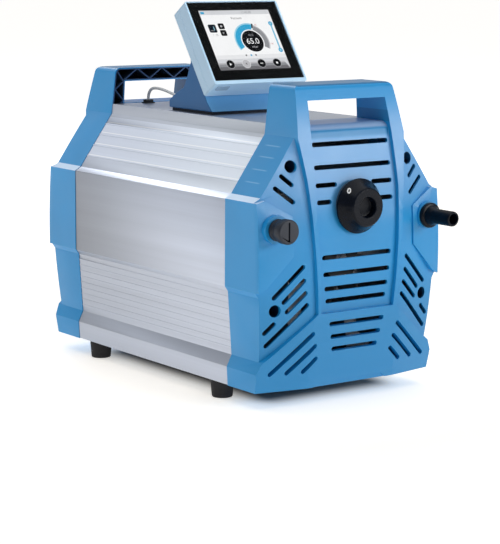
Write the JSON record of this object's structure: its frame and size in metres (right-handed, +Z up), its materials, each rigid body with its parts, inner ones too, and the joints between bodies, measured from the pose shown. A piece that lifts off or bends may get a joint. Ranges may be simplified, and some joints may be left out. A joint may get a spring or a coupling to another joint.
{
  "type": "diaphragm vacuum pump",
  "caption": "Oil-free laboratory diaphragm vacuum pump: metal case between moulded end covers with carrying grips, side inlet nozzle, outlet silencer, ballast knob and a tilted touch display.",
  "frame": {"origin": "centre of the outline, on the surface that the feet stand on", "axes": "+Z up; -Y out of the front with the knob; +X to the right seen from the front, towards the inlet nozzle"},
  "size_m": [0.26, 0.5181, 0.4463],
  "materials": {
    "cover_plastic": "fine matt moulding, mid blue",
    "panel_aluminium": "satin anodised extrusion",
    "base_steel": "zinc plated sheet",
    "foot_rubber": "matt dark rubber",
    "fastener_steel": "machined steel",
    "rod_aluminium": "plain bar",
    "knob_plastic": "black, semi gloss",
    "port_plastic": "black, semi gloss",
    "silencer_cap": "charcoal",
    "pedestal_plastic": "matt, darker blue",
    "display_plastic": "matt, pale blue grey",
    "port_cover_plastic": "matt, dark",
    "screen_glass": "clear cover glass",
    "screen_panel": "display panel, lit",
    "circuit_board": "green laminate",
    "cable_grey": "light grey sheath",
    "plug_black": "black",
    "cast_aluminium": "fine blasted casting",
    "stator_steel": "laminated steel",
    "winding_copper": "enamelled copper",
    "shaft_steel": "ground steel",
    "magnet_steel": "dark sintered magnets in a sleeve",
    "bearing_steel": "bearing steel",
    "diaphragm_rubber": "fabric reinforced rubber",
    "valve_rubber": "rubber",
    "fan_plastic": "black",
    "hose_rubber": "grey hose",
    "electronics_case": "finned cover",
    "mains_plastic": "black",
    "rocker_plastic": "black"
  },
  "bodies": {
    "housing": {"front_cover": "cover_plastic", "rear_cover": "cover_plastic", "left_side_panel": "panel_aluminium", "right_side_panel": "panel_aluminium", "top_plate": "panel_aluminium", "base_plate": "base_steel", "rubber_feet": "foot_rubber", "foot_screws": "fastener_steel", "tie_rods": "rod_aluminium", "cover_screws": "fastener_steel", "ballast_valve_body": "cast_aluminium", "inlet_nozzle": "port_plastic", "silencer_body": "port_plastic", "silencer_cap": "silencer_cap", "inlet_nut": "plug_black", "outlet_nut": "plug_black", "controller_pedestal": "pedestal_plastic", "pedestal_pad": "foot_rubber", "display_housing": "display_plastic", "display_back": "display_plastic", "display_glass": "screen_glass", "display_panel": "screen_panel", "display_board": "circuit_board", "port_cover": "port_cover_plastic", "controller_cable": "cable_grey", "cable_plug": "plug_black", "cable_socket": "plug_black", "motor_housing": "cast_aluminium", "stator_core": "stator_steel", "stator_windings": "winding_copper", "motor_end_shields": "cast_aluminium", "shaft_bearings": "bearing_steel", "front_crankcase": "cast_aluminium", "rear_crankcase": "cast_aluminium", "diaphragms": "diaphragm_rubber", "pump_heads": "cast_aluminium", "valve_discs": "valve_rubber", "head_screws": "fastener_steel", "gas_hoses": "hose_rubber", "crankcase_buffers": "foot_rubber", "drive_electronics": "electronics_case", "mains_module": "mains_plastic"},
    "crank": {"drive_shaft": "shaft_steel", "rotor_magnets": "magnet_steel", "front_eccentric": "shaft_steel", "rear_eccentric": "shaft_steel", "rod_bearings": "bearing_steel", "front_fan": "fan_plastic", "rear_fan": "fan_plastic"},
    "front_left_rod": {"front_left_rod": "rod_aluminium", "front_left_clamp_disc": "rod_aluminium"},
    "front_right_rod": {"front_right_rod": "rod_aluminium", "front_right_clamp_disc": "rod_aluminium"},
    "rear_left_rod": {"rear_left_rod": "rod_aluminium", "rear_left_clamp_disc": "rod_aluminium"},
    "rear_right_rod": {"rear_right_rod": "rod_aluminium", "rear_right_clamp_disc": "rod_aluminium"},
    "ballast_knob": {"knob": "knob_plastic", "ballast_spindle": "shaft_steel"},
    "mains_switch": {"mains_rocker": "rocker_plastic"}
  },
  "joints": [
    {"name": "crank_spin", "type": "hinge", "parent": "housing", "child": "crank", "pos_m": [0, 0.017, 0.16], "axis": [0, 1, 0], "continuous": true},
    {"name": "front_left_rod_swing", "type": "hinge", "parent": "crank", "child": "front_left_rod", "pos_m": [0.003, -0.122, 0.16], "axis": [0, 1, 0], "continuous": true},
    {"name": "front_right_rod_swing", "type": "hinge", "parent": "crank", "child": "front_right_rod", "pos_m": [0.003, -0.108, 0.16], "axis": [0, 1, 0], "continuous": true},
    {"name": "rear_left_rod_swing", "type": "hinge", "parent": "crank", "child": "rear_left_rod", "pos_m": [-0.003, 0.156, 0.16], "axis": [0, 1, 0], "continuous": true},
    {"name": "rear_right_rod_swing", "type": "hinge", "parent": "crank", "child": "rear_right_rod", "pos_m": [-0.003, 0.142, 0.16], "axis": [0, 1, 0], "continuous": true},
    {"name": "ballast_turn", "type": "hinge", "parent": "housing", "child": "ballast_knob", "pos_m": [0, -0.22, 0.2243], "axis": [0, 1, 0], "range_deg": [0, 90]},
    {"name": "mains_rock", "type": "hinge", "parent": "housing", "child": "mains_switch", "pos_m": [-0.018, 0.2515, 0.2], "axis": [1, 0, 0], "range_deg": [0, 16]}
  ],
  "couplings": [
    {"joint": "front_left_rod_swing", "follows": "crank_spin", "ratio": -1},
    {"joint": "front_right_rod_swing", "follows": "crank_spin", "ratio": -1},
    {"joint": "rear_left_rod_swing", "follows": "crank_spin", "ratio": -1},
    {"joint": "rear_right_rod_swing", "follows": "crank_spin", "ratio": -1}
  ]
}
